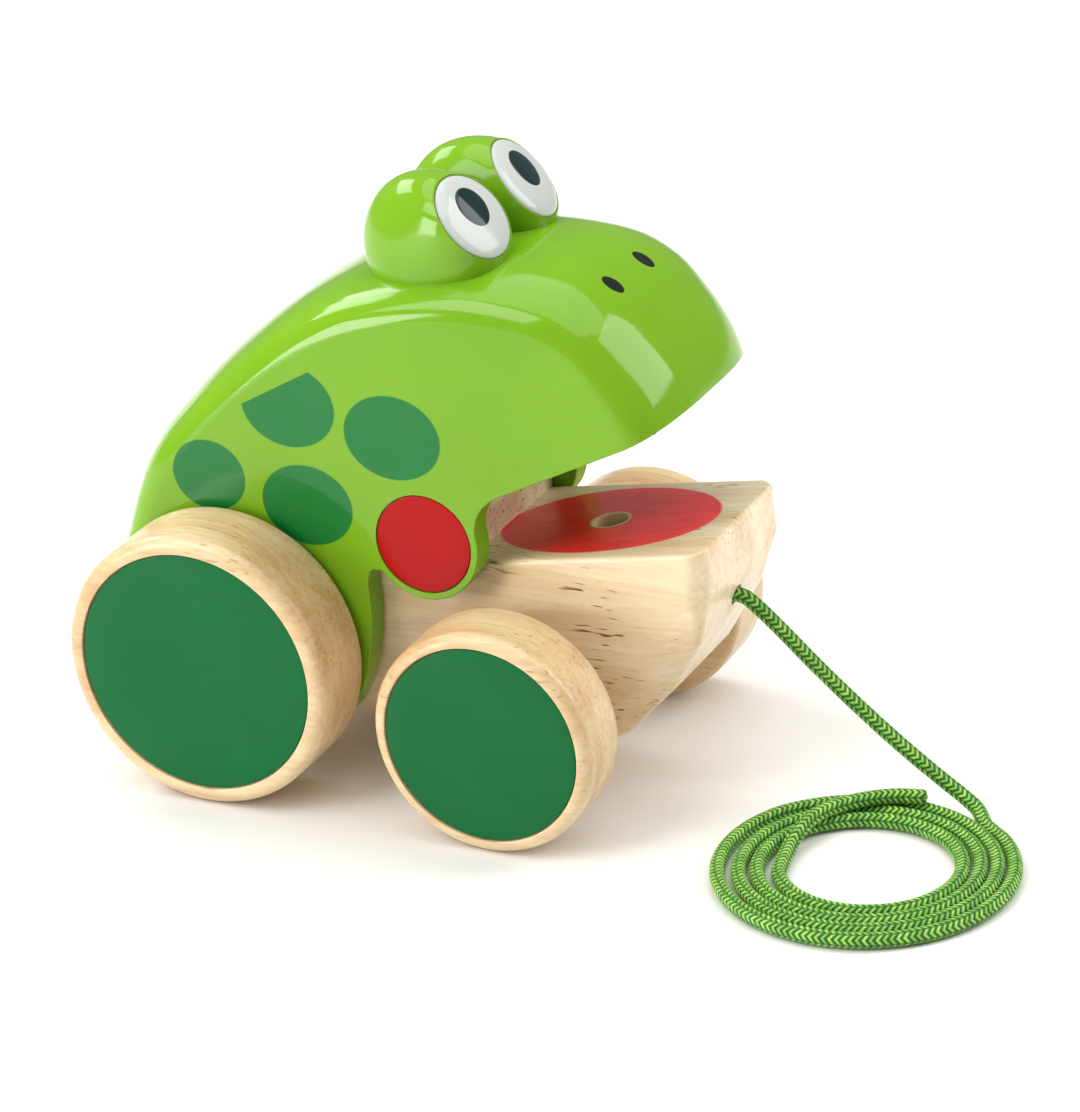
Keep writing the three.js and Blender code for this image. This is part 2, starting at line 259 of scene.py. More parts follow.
def giveSurface(tree, shader, colour, roughness, height, strength, depth):
    tree.links.new(colour, shader.inputs["Base Color"])
    tree.links.new(roughness, shader.inputs["Roughness"])
    bump = addNode(tree, "ShaderNodeBump", {"Height": height, "Strength": strength, "Distance": depth})
    tree.links.new(bump.outputs["Normal"], shader.inputs["Normal"])


def makeGrain():
    group, takes, gives = newGroup("woodGrain", [
        ("Place", "NodeSocketVector", None),
        ("Light", "NodeSocketColor", (0.8, 0.6, 0.4, 1)),
        ("Dark", "NodeSocketColor", (0.6, 0.4, 0.25, 1)),
        ("Fleck", "NodeSocketColor", (0.3, 0.17, 0.08, 1)),
        ("Flecks", "NodeSocketFloat", 0.5),
        ("Rough", "NodeSocketFloat", 0.4),
    ], [("Color", "NodeSocketColor"), ("Roughness", "NodeSocketFloat"), ("Height", "NodeSocketFloat")])
    tree, place = group, takes["Place"]
    sway = noise(tree, stretched(tree, place, (6, 14, 14)), 1.0, 2.0)
    lean = addNode(tree, "ShaderNodeCombineXYZ", {"Y": calc(tree, "MULTIPLY", sway, 0.02)}).outputs[0]
    bent = vectorCalc(tree, "ADD", place, lean)
    bands = noise(tree, stretched(tree, bent, (4, 110, 60)), 1.0, 3.0, 0.6)
    streaks = noise(tree, stretched(tree, bent, (14, 700, 700)), 1.0, 3.0, 0.6)
    clouds = noise(tree, stretched(tree, place, (14, 26, 26)), 1.0, 2.0)
    rays = noise(tree, stretched(tree, bent, (170, 1500, 600)), 1.0, 1.0)
    pores = noise(tree, stretched(tree, bent, (110, 900, 900)), 1.0, 1.0)
    patches = noise(tree, place, 30.0, 2.0)
    tone = calc(tree, "ADD", calc(tree, "MULTIPLY", bands, 0.75), calc(tree, "MULTIPLY", streaks, 0.4))
    tone = calc(tree, "ADD", tone, calc(tree, "MULTIPLY", clouds, 0.45))
    share = remap(tree, tone, 0.62, 0.98)
    colour = blendColours(tree, share, takes["Light"], takes["Dark"])
    speck = remap(tree, rays, 0.62, 0.72)
    colour = blendColours(tree, calc(tree, "MULTIPLY", speck, 0.22), colour, takes["Dark"])
    dots = calc(tree, "MULTIPLY", remap(tree, pores, 0.64, 0.71), remap(tree, patches, 0.44, 0.58))
    colour = blendColours(tree, calc(tree, "MULTIPLY", dots, takes["Flecks"]), colour, takes["Fleck"])
    tree.links.new(colour, gives["Color"])
    tree.links.new(calc(tree, "ADD", takes["Rough"], calc(tree, "MULTIPLY", streaks, 0.16)), gives["Roughness"])
    relief = calc(tree, "SUBTRACT", calc(tree, "MULTIPLY", streaks, 0.7), calc(tree, "MULTIPLY", dots, 0.5))
    tree.links.new(relief, gives["Height"])
    return group


def makePaintSkin():
    group, takes, gives = newGroup("paintSkin", [
        ("Place", "NodeSocketVector", None),
        ("Color", "NodeSocketColor", (0.2, 0.5, 0.1, 1)),
        ("Shift", "NodeSocketFloat", 0.1),
        ("Rough", "NodeSocketFloat", 0.12),
    ], [("Color", "NodeSocketColor"), ("Roughness", "NodeSocketFloat"), ("Height", "NodeSocketFloat")])
    tree, place = group, takes["Place"]
    pool = noise(tree, place, 22.0, 3.0)
    peel = noise(tree, place, 420.0, 2.0)
    fibre = noise(tree, stretched(tree, place, (40, 500, 500)), 1.0, 2.0)
    smudge = noise(tree, place, 60.0, 4.0, 0.65)
    darker = blendColours(tree, 1.0, takes["Color"], (0.62, 0.68, 0.6, 1), "MULTIPLY")
    share = calc(tree, "MULTIPLY", remap(tree, pool, 0.35, 0.7), takes["Shift"])
    tree.links.new(blendColours(tree, share, takes["Color"], darker), gives["Color"])
    dull = calc(tree, "MULTIPLY", remap(tree, smudge, 0.45, 0.75), 0.09)
    tree.links.new(calc(tree, "ADD", takes["Rough"], dull), gives["Roughness"])
    relief = calc(tree, "ADD", calc(tree, "MULTIPLY", peel, 0.6), calc(tree, "MULTIPLY", fibre, 0.3))
    tree.links.new(relief, gives["Height"])
    return group


def makeOval():
    group, takes, gives = newGroup("paintedOval", [
        ("Across", "NodeSocketFloat", 0.0),
        ("Up", "NodeSocketFloat", 0.0),
        ("Middle across", "NodeSocketFloat", 0.0),
        ("Middle up", "NodeSocketFloat", 0.0),
        ("Half across", "NodeSocketFloat", 0.01),
        ("Half up", "NodeSocketFloat", 0.01),
    ], [("Mask", "NodeSocketFloat")])
    tree = group
    across = calc(tree, "DIVIDE", calc(tree, "SUBTRACT", takes["Across"], takes["Middle across"]),
                  takes["Half across"])
    up = calc(tree, "DIVIDE", calc(tree, "SUBTRACT", takes["Up"], takes["Middle up"]), takes["Half up"])
    spread = calc(tree, "SQRT", calc(tree, "ADD", calc(tree, "MULTIPLY", across, across),
                                     calc(tree, "MULTIPLY", up, up)))
    tree.links.new(remap(tree, spread, 1.012, 0.988), gives["Mask"])
    return group


woodGrain = makeGrain()
paintSkin = makePaintSkin()
paintedOval = makeOval()


def oval(tree, across, up, shape):
    middleAcross, middleUp, halfAcross, halfUp = shape
    return placeGroup(tree, paintedOval, {
        "Across": across, "Up": up, "Middle across": middleAcross, "Middle up": middleUp,
        "Half across": halfAcross, "Half up": halfUp})["Mask"]


cordSet = {
    "diameter": 4.4 * mm,
    "sides": 32,
    "step": 0.6 * mm,
    "stitch": 1.75 * mm,          # one chevron of the braid, along the cord
    "columns": 4,                # rows of chevrons round the cord
    "slant": 0.75,               # how far a chevron's arms lean back, in stitches
    "relief": 0.34 * mm,
    "landing": 56,               # where the run joins the coil, in degrees
}
cordRadius = cordSet["diameter"] / 2

# From the knot out of the jaw and down to the floor, in millimetres.
leadRoute = [
    (57.3, 0, 59), (63.5, 0, 59), (70.1, 0, 59), (76.6, 0, 59), (83.1, 0, 59), (91.6, 0, 58.9),
    (96.6, 0, 55.9), (104.1, 0.1, 49.3), (113.6, 0.4, 40.3), (124.1, 0.9, 30.8), (134.1, 1.7, 22),
    (142.6, 2.7, 14.8), (149.6, 3.3, 9.4), (155.2, 2.9, 5.9), (160.4, 0.7, 3.5),
]

# Radius of the coil, in millimetres, at so many turns from the landing.
coilTurns = [
    (0, 40.4), (0.25, 40.4), (0.5, 40.3), (0.75, 39.9), (0.9, 37.4), (1.05, 35.8), (1.3, 35.4),
    (1.55, 34.6), (1.75, 33.4), (1.95, 31.9), (2.15, 30.8), (2.4, 30.2), (2.65, 29.1), (2.85, 27.8),
    (3.05, 26.5), (3.3, 25.4), (3.5, 24.1), (3.62, 23.2),
]

# The end crosses over the turns: turns from the landing, radius and height in millimetres.
crossing = [
    (3.665, 23.2, 2.8), (3.7, 24, 4.4), (3.74, 25.6, 6), (3.78, 27.7, 6.6), (3.82, 30, 6.6),
    (3.855, 32.3, 6.6), (3.89, 34.7, 6.6), (3.925, 36.9, 6.5),
]


def coilRadius(turns):
    for (t0, r0), (t1, r1) in zip(coilTurns, coilTurns[1:]):
        if turns <= t1:
            share = (turns - t0) / (t1 - t0)
            return (r0 + (r1 - r0) * share) * mm
    return coilTurns[-1][1] * mm


def coilPoint(turns, radius, height):
    angle = math.radians(cordSet["landing"] - 360 * turns)
    return Vector((coilMiddle.x + radius * math.cos(angle), coilMiddle.y + radius * math.sin(angle), height))


def cordRoute():
    points = [Vector(p) * mm for p in leadRoute]
    floor = cordRadius + 0.06 * mm
    turns = 0.0
    while turns < coilTurns[-1][0]:
        points.append(coilPoint(turns, coilRadius(turns), floor))
        turns += 1 / 24
    points += [coilPoint(t, r * mm, z * mm) for t, r, z in crossing]
    return points


def evenRoute(points, step):  # the same line with points a step apart
    fine = [splinePoint(points, i / (len(points) * 24)) for i in range(len(points) * 24 + 1)]
    route, carried = [fine[0]], 0.0
    for a, b in zip(fine, fine[1:]):
        length = (b - a).length
        while carried + length >= step:
            a = a + (b - a) * ((step - carried) / length)
            route.append(a.copy())
            length = (b - a).length
            carried = 0.0
        carried += length
    return route


def braidHeight(along, around):  # 0 in the gaps between stitches, 1 on their crowns
    column = (around * cordSet["columns"]) % 1
    arm = abs(2 * column - 1)
    stitch = math.sin(math.pi * ((along + cordSet["slant"] * arm) % 1))
    return max(0.0, stitch) ** 0.7 * (1 - 0.75 * arm ** 8)


def tube(name, route, radius, sides, relief):
    spots, faces, uvs = [], [], []
    side = Vector((0, 1, 0))
    for i, spot in enumerate(route):
        ahead = (route[min(i + 1, len(route) - 1)] - route[max(i - 1, 0)]).normalized()
        side = (side - ahead * side.dot(ahead)).normalized()
        up = ahead.cross(side)
        near = min(i, len(route) - 1 - i) * cordSet["step"]
        close = min(1.0, math.sqrt(max(0.0, 1 - (1 - min(near / (0.7 * radius), 1)) ** 2)) + 0.12)
        for k in range(sides):
            turn = 2 * math.pi * k / sides
            grown = radius - relief * (1 - braidHeight(i * cordSet["step"] / cordSet["stitch"], k / sides))
            spots.append(spot + (side * math.cos(turn) + up * math.sin(turn)) * grown * close)
    for i in range(len(route) - 1):
        u = i * cordSet["step"] / cordSet["stitch"]
        after = (i + 1) * cordSet["step"] / cordSet["stitch"]
        for k in range(sides):
            m = (k + 1) % sides
            faces.append((i * sides + k, i * sides + m, (i + 1) * sides + m, (i + 1) * sides + k))
            uvs += [(u, k / sides), (u, (k + 1) / sides), (after, (k + 1) / sides), (after, k / sides)]
    last = (len(route) - 1) * sides
    faces.append(tuple(reversed(range(sides))))
    faces.append(tuple(range(last, last + sides)))
    uvs += [(0, 0)] * (2 * sides)
    mesh = bpy.data.meshes.new(name)
    mesh.from_pydata(spots, [], faces)
    layer = mesh.uv_layers.new(name="braid")
    for loop, uv in zip(layer.data, uvs):
        loop.uv = uv
    piece = bpy.data.objects.new(name, mesh)
    bpy.context.scene.collection.objects.link(piece)
    pick(piece)
    bpy.ops.object.shade_smooth()
    return piece


def makeCordMaterial():
    material, tree, shader, place = newMaterial("braidedCord", Sheen_Weight=0.35, Sheen_Roughness=0.4)
    shader.inputs["Sheen Tint"].default_value = (0.75, 1.0, 0.5, 1)
    flat = addNode(tree, "ShaderNodeTexCoord").outputs["UV"]
    parts = addNode(tree, "ShaderNodeSeparateXYZ", {0: flat}).outputs
    column = calc(tree, "FRACT", calc(tree, "MULTIPLY", parts["Y"], cordSet["columns"]))
    arm = calc(tree, "ABSOLUTE", calc(tree, "SUBTRACT", calc(tree, "MULTIPLY", column, 2.0), 1.0))
    along = calc(tree, "ADD", parts["X"], calc(tree, "MULTIPLY", arm, cordSet["slant"]))
    stitch = calc(tree, "SINE", calc(tree, "MULTIPLY", calc(tree, "FRACT", along), math.pi))
    edge = calc(tree, "MULTIPLY", calc(tree, "POWER", arm, 8.0), 0.7)
    crown = calc(tree, "MULTIPLY", stitch, calc(tree, "SUBTRACT", 1.0, edge), clamp=True)
    fibres = noise(tree, stretched(tree, addNode(tree, "ShaderNodeCombineXYZ", {
        "X": calc(tree, "MULTIPLY", along, 5.0), "Y": calc(tree, "MULTIPLY", parts["Y"], 90.0),
    }).outputs[0], (1, 1, 1)), 1.0, 2.0)
    lot = addNode(tree, "ShaderNodeTexWhiteNoise", {0: addNode(tree, "ShaderNodeCombineXYZ", {
        "X": calc(tree, "FLOOR", along),
        "Y": calc(tree, "FLOOR", calc(tree, "MULTIPLY", parts["Y"], cordSet["columns"])),
    }).outputs[0]}, noise_dimensions="2D").outputs["Value"]
    # The colour follows the braid's relief: painted shade darkens the gaps between stitches and a painted
    # highlight lightens the stitch crowns, over random tone from the fibres and from stitch to stitch.
    paintedLightLevel = calc(tree, "ADD", calc(tree, "MULTIPLY", crown, 0.86), calc(tree, "MULTIPLY", fibres, 0.22))
    paintedLightLevel = calc(tree, "ADD", paintedLightLevel, calc(tree, "MULTIPLY", calc(tree, "SUBTRACT", lot, 0.5), 0.16))
    ramp = addNode(tree, "ShaderNodeValToRGB", {0: paintedLightLevel})
    # Ramp stops run from the painted shade in the gaps up to the yellowish painted highlight on the crowns.
    shadeToHighlightStops = [(0.16, (0.002, 0.035, 0.006, 1)), (0.5, (0.035, 0.21, 0.013, 1)),
             (0.8, (0.11, 0.36, 0.022, 1)), (1.0, (0.45, 0.70, 0.12, 1))]
    ramp.color_ramp.elements[0].position, ramp.color_ramp.elements[0].color = shadeToHighlightStops[0]
    ramp.color_ramp.elements[1].position, ramp.color_ramp.elements[1].color = shadeToHighlightStops[3]
    for position, colour in shadeToHighlightStops[1:3]:
        ramp.color_ramp.elements.new(position).color = colour
    rough = calc(tree, "SUBTRACT", 0.78, calc(tree, "MULTIPLY", crown, 0.25))
    height = calc(tree, "ADD", crown, calc(tree, "MULTIPLY", fibres, 0.3))
    giveSurface(tree, shader, ramp.outputs["Color"], rough, height, 0.6, 0.0004)
    return material


knotSet = {"radius": 1.7 * mm, "inset": 1.75 * mm, "sides": 20, "relief": 0.15 * mm, "flatness": 0.6}


def knotRoute(count=120):  # an overhand knot drawn up tight in its hole
    size = (knotHigh.x - knotLow.x) / 2 - knotSet["inset"]
    route = []
    for i in range(count):
        turn = 2 * math.pi * i / (count - 1) * 0.985
        x = math.sin(turn) + 2 * math.sin(2 * turn)
        y = math.cos(turn) - 2 * math.cos(2 * turn)
        spot = Vector((x / 3 * size, y / 3 * size, -math.sin(3 * turn) * size * knotSet["flatness"]))
        route.append(knotHole + spot)
    return route


def makeCord():
    print("cord")
    material = makeCordMaterial()
    route = evenRoute(cordRoute(), cordSet["step"])
    cord = tube("pull_cord", route, cordRadius, cordSet["sides"], cordSet["relief"])
    finishPiece(cord, "body", "cord_green", material, "cord_lead", "cord_coil")
    knot = tube("cord_overhand_knot", knotRoute(), knotSet["radius"], knotSet["sides"], knotSet["relief"])
    finishPiece(knot, "body", "cord_green", material, "cord_knot")


woodSet = {
    "jawLight": (0.95, 0.80, 0.56, 1), "jawDark": (0.74, 0.50, 0.26, 1), "fleck": (0.22, 0.10, 0.03, 1),
    "wheelLight": (0.82, 0.65, 0.39, 1), "wheelDark": (0.60, 0.36, 0.16, 1),
    "rough": 0.3,
}


def wood(tree, place, light, dark, flecks):
    return placeGroup(tree, woodGrain, {
        "Place": place, "Light": woodSet[light], "Dark": woodSet[dark], "Fleck": woodSet["fleck"],
        "Flecks": flecks, "Rough": woodSet["rough"]})


def makeWheelWood():
    material, tree, shader, place = newMaterial("wheelBeech", Coat_Weight=0.3, Coat_Roughness=0.18)
    grain = wood(tree, place, "wheelLight", "wheelDark", 0.5)
    giveSurface(tree, shader, grain["Color"], grain["Roughness"], grain["Height"], 0.22, 0.0003)
    return material


tongueSet = {
    "halfLength": 32.5 * mm, "halfWidth": 23.6 * mm, "red": (1.0, 0.018, 0.026, 1),
    "bareRing": 5.9 * mm,       # radius of the bare wood left round the knot's hole
}


def makeJawWood():
    material, tree, shader, place = newMaterial("jawMaple", Coat_Weight=0.35, Coat_Roughness=0.16)
    grain = wood(tree, place, "jawLight", "jawDark", 1.0)
    parts = addNode(tree, "ShaderNodeSeparateXYZ", {0: place}).outputs
    tongue = oval(tree, parts["X"], parts["Y"], (knotHole.x, 0, tongueSet["halfLength"], tongueSet["halfWidth"]))
    bare = oval(tree, parts["X"], parts["Y"], (knotHole.x, 0, tongueSet["bareRing"], tongueSet["bareRing"]))
    top = calc(tree, "ADD", calc(tree, "MULTIPLY", parts["X"], jawSet["slope"]), jawSet["height"])
    away = calc(tree, "ABSOLUTE", calc(tree, "SUBTRACT", parts["Z"], top))
    onTop = calc(tree, "LESS_THAN", away, 0.35 * mm)
    mask = calc(tree, "MULTIPLY", calc(tree, "SUBTRACT", tongue, bare, clamp=True), onTop)
    thin = noise(tree, stretched(tree, place, (20, 620, 620)), 1.0, 3.0, 0.6)
    red = blendColours(tree, remap(tree, thin, 0.5, 0.72, 0.0, 0.5), tongueSet["red"], (0.50, 0.010, 0.018, 1))
    worn = remap(tree, noise(tree, stretched(tree, place, (9, 300, 300)), 1.0, 4.0, 0.7), 0.56, 0.75, 0.0, 0.35)
    red = blendColours(tree, worn, red, (0.80, 0.22, 0.20, 1))
    colour = blendColours(tree, mask, grain["Color"], red)
    giveSurface(tree, shader, colour, grain["Roughness"], grain["Height"], 0.25, 0.0003)
    return material


# Places on the head are in millimetres: across is x behind or ahead of the hinge, up is height.
headPaint = {
    "lime": (0.185, 0.40, 0.012, 1),
    "spot": (0.004, 0.175, 0.030, 1),
    "nostril": (0.006, 0.016, 0.012, 1),
    "spots": [(-66.5, 90.3, 11.6, 10.6), (-7.6, 109.2, 14.8, 12.4), (-35.6, 85.3, 14.2, 12)],
    "cutSpot": (-39.6, 114.8, 14.6, 12.4),
    "cutThrough": (-54.4, 113.3), "cutSlope": 0.56,
    "nostrils": [(49.1, 10.1), (49.1, -10.1)], "nostrilSize": (3.1, 2.5),
}


def makeHeadPaint():
    material, tree, shader, place = newMaterial("limeEnamel", Specular_IOR_Level=0.34)
    parts = addNode(tree, "ShaderNodeSeparateXYZ", {0: place}).outputs
    across = calc(tree, "MULTIPLY", calc(tree, "SUBTRACT", parts["X"], pivot.x), 1000.0)
    up = calc(tree, "MULTIPLY", parts["Z"], 1000.0)
    side = calc(tree, "MULTIPLY", parts["Y"], 1000.0)
    spots = 0.0
    for shape in headPaint["spots"]:
        spots = calc(tree, "MAXIMUM", spots, oval(tree, across, up, shape))
    cutX, cutZ = headPaint["cutThrough"]
    line = calc(tree, "ADD", calc(tree, "MULTIPLY", calc(tree, "SUBTRACT", across, cutX),
                                  headPaint["cutSlope"]), cutZ)
    below = remap(tree, calc(tree, "SUBTRACT", up, line), 0.15, -0.15)
    cut = calc(tree, "MULTIPLY", oval(tree, across, up, headPaint["cutSpot"]), below)
    spots = calc(tree, "MAXIMUM", spots, cut)
    onSide = calc(tree, "GREATER_THAN", calc(tree, "ABSOLUTE", side), headHigh.y * 1000 - 0.4)
    spots = calc(tree, "MULTIPLY", spots, onSide)
    nostrils = 0.0
    for middle in headPaint["nostrils"]:
        nostrils = calc(tree, "MAXIMUM", nostrils, oval(tree, across, side, (*middle, *headPaint["nostrilSize"])))
    nostrils = calc(tree, "MULTIPLY", nostrils, calc(tree, "GREATER_THAN", up, 140.0))
    colour = blendColours(tree, spots, headPaint["lime"], headPaint["spot"])
    colour = blendColours(tree, nostrils, colour, headPaint["nostril"])
    skin = placeGroup(tree, paintSkin, {"Place": place, "Color": colour, "Shift": 0.25, "Rough": 0.07})
    giveSurface(tree, shader, skin["Color"], skin["Roughness"], skin["Height"], 0.05, 0.0002)
    return material


def makeEnamel(name, colour, rough, bump, shift=0.3, gloss=0.3):
    material, tree, shader, place = newMaterial(name, Specular_IOR_Level=gloss)
    skin = placeGroup(tree, paintSkin, {"Place": place, "Color": colour, "Shift": shift, "Rough": rough})
    giveSurface(tree, shader, skin["Color"], skin["Roughness"], skin["Height"], bump, 0.0002)
    return material


def makeSteel():
    material, tree, shader, place = newMaterial("drawnSteel")
    shader.inputs["Metallic"].default_value = 1.0
    lines = noise(tree, stretched(tree, place, (1800, 30, 1800)), 1.0, 3.0)
    colour = blendColours(tree, lines, (0.50, 0.50, 0.52, 1), (0.68, 0.68, 0.70, 1))
    giveSurface(tree, shader, colour, remap(tree, lines, 0.3, 0.7, 0.22, 0.42), lines, 0.15, 0.0001)
    return material


def makeNylon():
    material, tree, shader, place = newMaterial("nylon", Subsurface_Weight=0.1)
    mottle = noise(tree, place, 500.0, 3.0)
    colour = blendColours(tree, mottle, (0.80, 0.77, 0.69, 1), (0.70, 0.67, 0.58, 1))
    giveSurface(tree, shader, colour, remap(tree, mottle, 0.3, 0.7, 0.38, 0.55), mottle, 0.2, 0.0002)
    return material


jawSet = {
    "slope": 0.17, "height": 67.333 * mm,   # the top face's plane: its slope, and its height at x = 0
    "halfWidth": jawHigh.y, "rear": jawLow.x, "front": jawHigh.x - 0.8 * mm, "nose": 0.8 * mm,
    "under": jawLow.z, "sideDepth": 18 * mm, "underHalf": 16 * mm, "corner": 4 * mm, "chin": 14 * mm,
    "chinSteps": [(3.5, 22, 54), (12, 18, 38), (30, 15, 18)], "underFront": 40 * mm,
    "edge": 1.5 * mm, "holeRadius": 5 * mm, "boreRadius": 2.9 * mm, "knuckle": 9 * mm,
    "knuckleEdge": 0.8 * mm, "boreReach": 70 * mm,
    "slotHalf": 7.5 * mm, "slotFront": -22.15 * mm, "bushHole": 5.4 * mm, "flatRadius": 9.5 * mm,
}


def jawTop(x):
    return jawSet["height"] + jawSet["slope"] * x


def jawCorners():
    made = []
    s = jawSet
    for side in (1, -1):
        wide, inner = side * s["halfWidth"], side * (s["halfWidth"] - s["corner"])
        chin = jawTop(s["front"]) - s["chin"]
        made += [
            (s["rear"], wide, jawTop(s["rear"])),
            (s["front"] - s["corner"], wide, jawTop(s["front"] - s["corner"])),
            (s["front"], inner, jawTop(s["front"])),
            (s["rear"], wide, jawTop(s["rear"]) - s["sideDepth"]),
            (s["front"] - s["corner"], wide, chin),
            (s["front"] + s["nose"], inner, chin),
            (s["front"] - s["underFront"], side * s["underHalf"], s["under"]),
            (s["rear"], side * s["underHalf"], s["under"]),
        ]
        made += [(s["front"] - back * mm, side * half * mm, z * mm) for back, half, z in s["chinSteps"]]
    return made


def makeJaw(material):
    print("jaw body")
    s = jawSet
    corners = jawCorners()
    deselect()
    bpy.ops.mesh.primitive_grid_add(x_subdivisions=len(corners) // 2 - 1, y_subdivisions=1, size=0.1)
    jaw = started("jaw_block")
    for vertex, corner in zip(jaw.data.vertices, corners):
        vertex.co = corner
    choose(jaw, "FACE", lambda face: True)
    bpy.ops.mesh.delete(type="EDGE_FACE")
    bpy.ops.mesh.select_mode(type="VERT")
    bpy.ops.mesh.select_all(action="SELECT")
    bpy.ops.mesh.convex_hull()
    bpy.ops.mesh.select_all(action="SELECT")
    bpy.ops.mesh.dissolve_limited(angle_limit=math.radians(1.5))
    deselect()
    modify(jaw, "BEVEL", width=s["edge"], segments=3, limit_method="ANGLE", angle_limit=math.radians(20),
           profile=0.5)
    wide = s["halfWidth"]
    knuckle = bar("knuckle", s["knuckle"], -wide, wide, pivot.x, pivot.z)
    cutWith(knuckle, block("knuckleFoot", (pivot.x - s["knuckle"], -wide, jawTop(pivot.x) - 9 * mm),
                           (pivot.x + s["knuckle"], wide, pivot.z)), "UNION")
    modify(knuckle, "BEVEL", width=s["knuckleEdge"], segments=2, limit_method="ANGLE",
           angle_limit=math.radians(50))
    cutWith(jaw, knuckle, "UNION")
    reach = s["boreReach"]
    for name in ("rear", "front"):
        low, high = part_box(f"{name}_axle")
        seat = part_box(f"{name}_bush_left")[1].y
        x, z = (low.x + high.x) / 2, (low.z + high.z) / 2
        cutWith(jaw, bar("bushHole", s["bushHole"], -reach, reach, x, z))
        for side in (1, -1):
            cutWith(jaw, bar("spacerFlat", s["flatRadius"], side * seat, side * reach, x, z))
    cutWith(jaw, bar("rodHole", (rodHigh.x - rodLow.x) / 2 + 0.3 * mm, -reach, reach, pivot.x, pivot.z))
    cutWith(jaw, block("camSlot", (s["rear"] - 0.01, -s["slotHalf"], 0), (s["slotFront"], s["slotHalf"], 0.09)))
    deselect()
    bpy.ops.mesh.primitive_cylinder_add(
        vertices=64, radius=s["holeRadius"], depth=0.06, location=(knotHole.x, 0, knotHole.z + 22 * mm))
    hole = started("knotHole")
    cutWith(jaw, hole)
    deselect()
    rim = jawTop(knotHole.x)
    bpy.ops.mesh.primitive_cone_add(
        vertices=64, radius1=s["holeRadius"] - 0.3 * mm, radius2=s["holeRadius"] + 1.7 * mm, depth=2 * mm,
        location=(knotHole.x, 0, rim + 0.4 * mm), rotation=(0, -math.atan(s["slope"]), 0))
    cutWith(jaw, started("knotHoleRim"))
    deselect()
    bpy.ops.mesh.primitive_cylinder_add(
        vertices=48, radius=s["boreRadius"], depth=0.06, location=(knotHole.x + 0.03, 0, knotHole.z),
        rotation=(0, math.pi / 2, 0))
    cutWith(jaw, started("cordBore"))
    smooth(jaw, 30)
    finishPiece(jaw, "body", "jaw_wood", material, "jaw_body")


# The crown's middle line, tail to nose, as millimetres ahead of the hinge and height.
headSet = {
    "crown": [(-105.2, 58), (-93.7, 89.5), (-77.7, 110), (-60.7, 126.5), (-40.7, 141.5), (-18.2, 151.5),
              (9.8, 157), (36.8, 156), (52.3, 149.5), (61.8, 140), (68.8, 130), (73.1, 119.5), (74.8, 108)],
    "halfWidth": headHigh.y, "wall": 7.7 * mm, "camber": 7.5 * mm, "power": 3.2,
    "rows": 84, "columns": 34,
    "lipRoot": (15.5, 91.5), "lipSlope": 0.497, "tailBottom": 57 * mm,
    "lobe": 16.7, "haunchRadius": 60.94, "haunchFrom": 200.56, "haunchTo": 244.8,
    "crease": 5 * mm, "rim": 0.4 * mm, "overshoot": 0.2 * mm,
}


def lipHeight(x):
    rootX, rootZ = headSet["lipRoot"]
    return (rootZ + headSet["lipSlope"] * ((x - pivot.x) * 1000 - rootX)) * mm


def crownSlice(across):  # points from tail to nose along the skin, at a share of the half width
    line = [Vector((pivot.x + x * mm, 0, z * mm)) for x, z in headSet["crown"]]
    fall = headSet["camber"] * abs(across) ** headSet["power"]
    skin = []
    for i in range(401):
        spot, ahead = splinePoint(line, i / 400), splinePoint(line, min(i + 1, 400) / 400)
        if i == 400:
            spot, ahead = splinePoint(line, 399 / 400), line[-1]
        slope = (ahead - spot).normalized()
        skin.append(Vector((spot.x + slope.z * fall, 0, spot.z - slope.x * fall)))
    kept = [p for p in skin if p.z > max(headSet["tailBottom"], lipHeight(p.x) if p.x > pivot.x else 0)]
    first, after = kept[0], skin[skin.index(kept[-1]) + 1]
    kept.insert(0, Vector((first.x - (first.z - headSet["tailBottom"]) * 0.1, 0, headSet["tailBottom"])))
    last = kept[-1]
    share = (last.z - lipHeight(last.x)) / ((last.z - lipHeight(last.x)) - (after.z - lipHeight(after.x)))
    kept.append(last + (after - last) * share)
    lengths = [0.0]
    for a, b in zip(kept, kept[1:]):
        lengths.append(lengths[-1] + (b - a).length)
    even, j = [], 0
    for i in range(headSet["rows"] + 1):
        goal = lengths[-1] * i / headSet["rows"]
        while j < len(lengths) - 2 and lengths[j + 1] < goal:
            j += 1
        part = (goal - lengths[j]) / max(lengths[j + 1] - lengths[j], 1e-9)
        even.append(kept[j] + (kept[j + 1] - kept[j]) * part)
    return even


def curveBetween(a, control, b, count):
    return [a * (1 - t) ** 2 + control * 2 * t * (1 - t) + b * t * t
            for t in [i / count for i in range(count + 1)]]


def arc(radius, start, stop, count):
    angles = [math.radians(start + (stop - start) * i / count) for i in range(count + 1)]
    return [Vector((radius * math.cos(a), 0, pivot.z * 1000 + radius * math.sin(a))) for a in angles]


def point(x, z):
    return Vector((x, 0, z))


def cheekOutline():  # from the lip down round the cheek and haunch to the tail, ahead of the hinge
    rootX, rootZ = headSet["lipRoot"]
    lobe = arc(headSet["lobe"], 16, -143, 34)
    lipEnd = point(rootX + 7.5, rootZ + 7.5 * headSet["lipSlope"])
    haunch = arc(headSet["haunchRadius"], headSet["haunchTo"], headSet["haunchFrom"], 26)
    knee = point(-17.7, 54)
    outline = curveBetween(lipEnd, point(rootX + 0.3, rootZ - 0.6), lobe[0], 8)
    outline += lobe[1:]
    outline += curveBetween(lobe[-1] + point(-1.6, 0.6), point(-18.4, 68), point(-18.2, 63), 5)[1:]
    outline += curveBetween(knee, point(-18.4, 34), haunch[0], 12)
    outline += haunch[1:]
    return [Vector((pivot.x + p.x * mm, 0, p.z * mm)) for p in outline]


